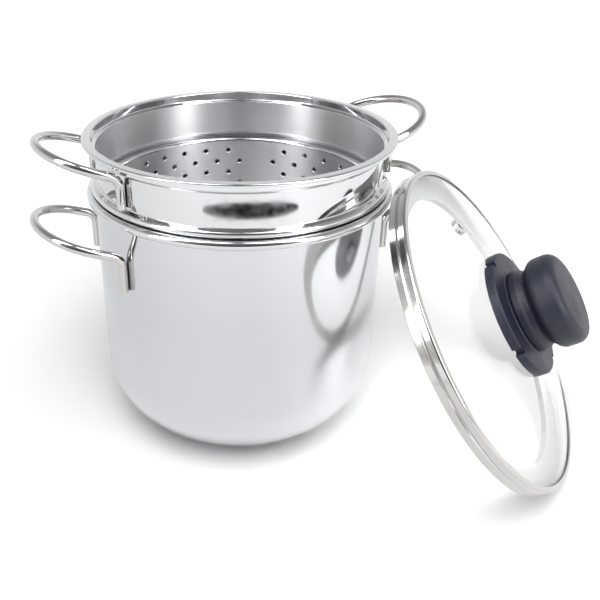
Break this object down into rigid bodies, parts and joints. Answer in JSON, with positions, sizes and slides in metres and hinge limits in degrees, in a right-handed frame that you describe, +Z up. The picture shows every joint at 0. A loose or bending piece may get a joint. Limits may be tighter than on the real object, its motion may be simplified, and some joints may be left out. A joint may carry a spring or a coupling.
{
  "type": "pasta pot",
  "caption": "Tall stainless pot with a lift-out perforated colander, bent-wire loop handles and a domed glass lid with a steel rim and a round knob.",
  "frame": {"origin": "centre of the pot's base, on the surface it stands on", "axes": "+Z up along the pot's axis, +X along the line of the handles towards the lid's side, +Y to the back"},
  "size_m": [0.3878, 0.3212, 0.2331],
  "materials": {
    "steel_satin": "satin",
    "steel_polished": "polished",
    "aluminium_core": "plain",
    "glass_clear": "clear",
    "knob_plastic": "satin",
    "silicone": "matte",
    "brass_insert": "plain"
  },
  "bodies": {
    "pot": {"pot_body": "steel_satin", "pot_base_core": "aluminium_core", "pot_base_cap": "steel_satin", "pot_handle_left": "steel_polished", "pot_handle_right": "steel_polished"},
    "colander": {"colander_body": "steel_polished", "colander_handle_left": "steel_polished", "colander_handle_right": "steel_polished"},
    "lid": {"lid_glass": "glass_clear", "lid_rim_band": "steel_polished", "lid_rim_seal": "silicone", "lid_vent_eyelet": "steel_polished", "lid_knob_shield": "knob_plastic", "lid_knob_grip": "knob_plastic", "lid_knob_insert": "brass_insert", "lid_knob_gasket": "silicone", "lid_knob_washer": "steel_satin", "lid_knob_screw": "steel_satin"}
  },
  "joints": [
    {"name": "colander_lift", "type": "slide", "parent": "pot", "child": "colander", "axis": [0, 0, 1], "range_m": [0, 0.2]},
    {"name": "lid_lift", "type": "slide", "parent": "pot", "child": "lid", "axis": [0.5898, -0.5636, 0.5784], "range_m": [0, 0.2]}
  ]
}
